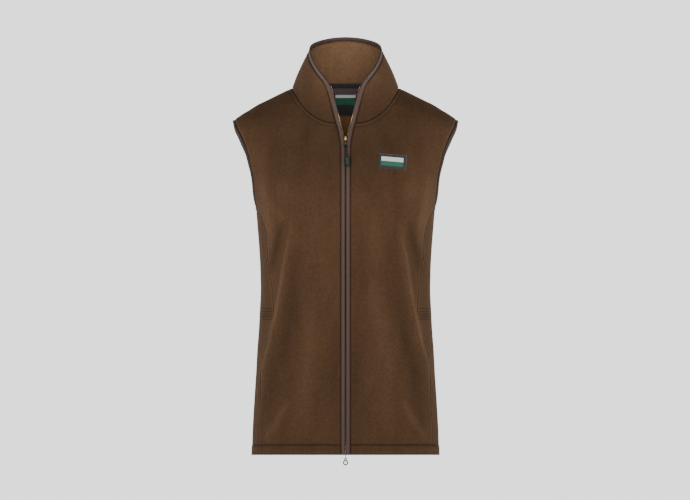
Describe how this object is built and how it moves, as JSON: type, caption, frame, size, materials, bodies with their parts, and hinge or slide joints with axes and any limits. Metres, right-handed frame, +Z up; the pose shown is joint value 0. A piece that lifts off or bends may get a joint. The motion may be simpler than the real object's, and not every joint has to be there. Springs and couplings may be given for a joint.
{
  "type": "fleece gilet",
  "caption": "Sleeveless fleece gilet with a tall stand collar, bound armholes and collar edge, a two-way front zip partly open at the neck, and side pockets, filled out as if worn.",
  "frame": {"origin": "midway between the two neck points of the shoulder seams, where the wearer's shoulders hold the gilet", "axes": "+Z up, the front with the zip faces -Y, +X towards the wearer's left"},
  "size_m": [0.4388, 0.254, 0.8256],
  "materials": {
    "fleece": "matt napped fleece",
    "binding": "smooth stretch binding",
    "tape": "woven zip tape",
    "brass": "satin plated",
    "cord": "braided cord",
    "rubber": "matt moulded grip",
    "label": "woven label",
    "black_tape": "woven tape",
    "plum": "plain woven"
  },
  "bodies": {
    "gilet": {"front_left": "fleece", "front_right": "fleece", "back": "fleece", "pocket_left": "fleece", "pocket_right": "fleece", "collar": "fleece", "front_binding_left": "binding", "front_binding_right": "binding", "collar_binding": "binding", "armhole_binding_left": "binding", "armhole_binding_right": "binding", "zip_tape_left": "tape", "zip_tape_right": "tape", "slider_top": "brass", "slider_bottom": "brass", "chest_label": "label", "neck_tape": "black_tape", "neck_facing": "plum", "neck_label": "label"},
    "top_pull": {"pull_top_cord": "cord", "pull_top_grip": "rubber"},
    "bottom_pull": {"pull_bottom": "brass"}
  },
  "joints": [
    {"name": "top_pull_swing", "type": "hinge", "parent": "gilet", "child": "top_pull", "pos_m": [0, -0.09988, -0.10927], "axis": [-1, 0, 0], "range_deg": [0, 100]},
    {"name": "bottom_pull_swing", "type": "hinge", "parent": "gilet", "child": "bottom_pull", "pos_m": [0, -0.12311, -0.70846], "axis": [-1, 0, 0], "range_deg": [-60, 90]}
  ]
}
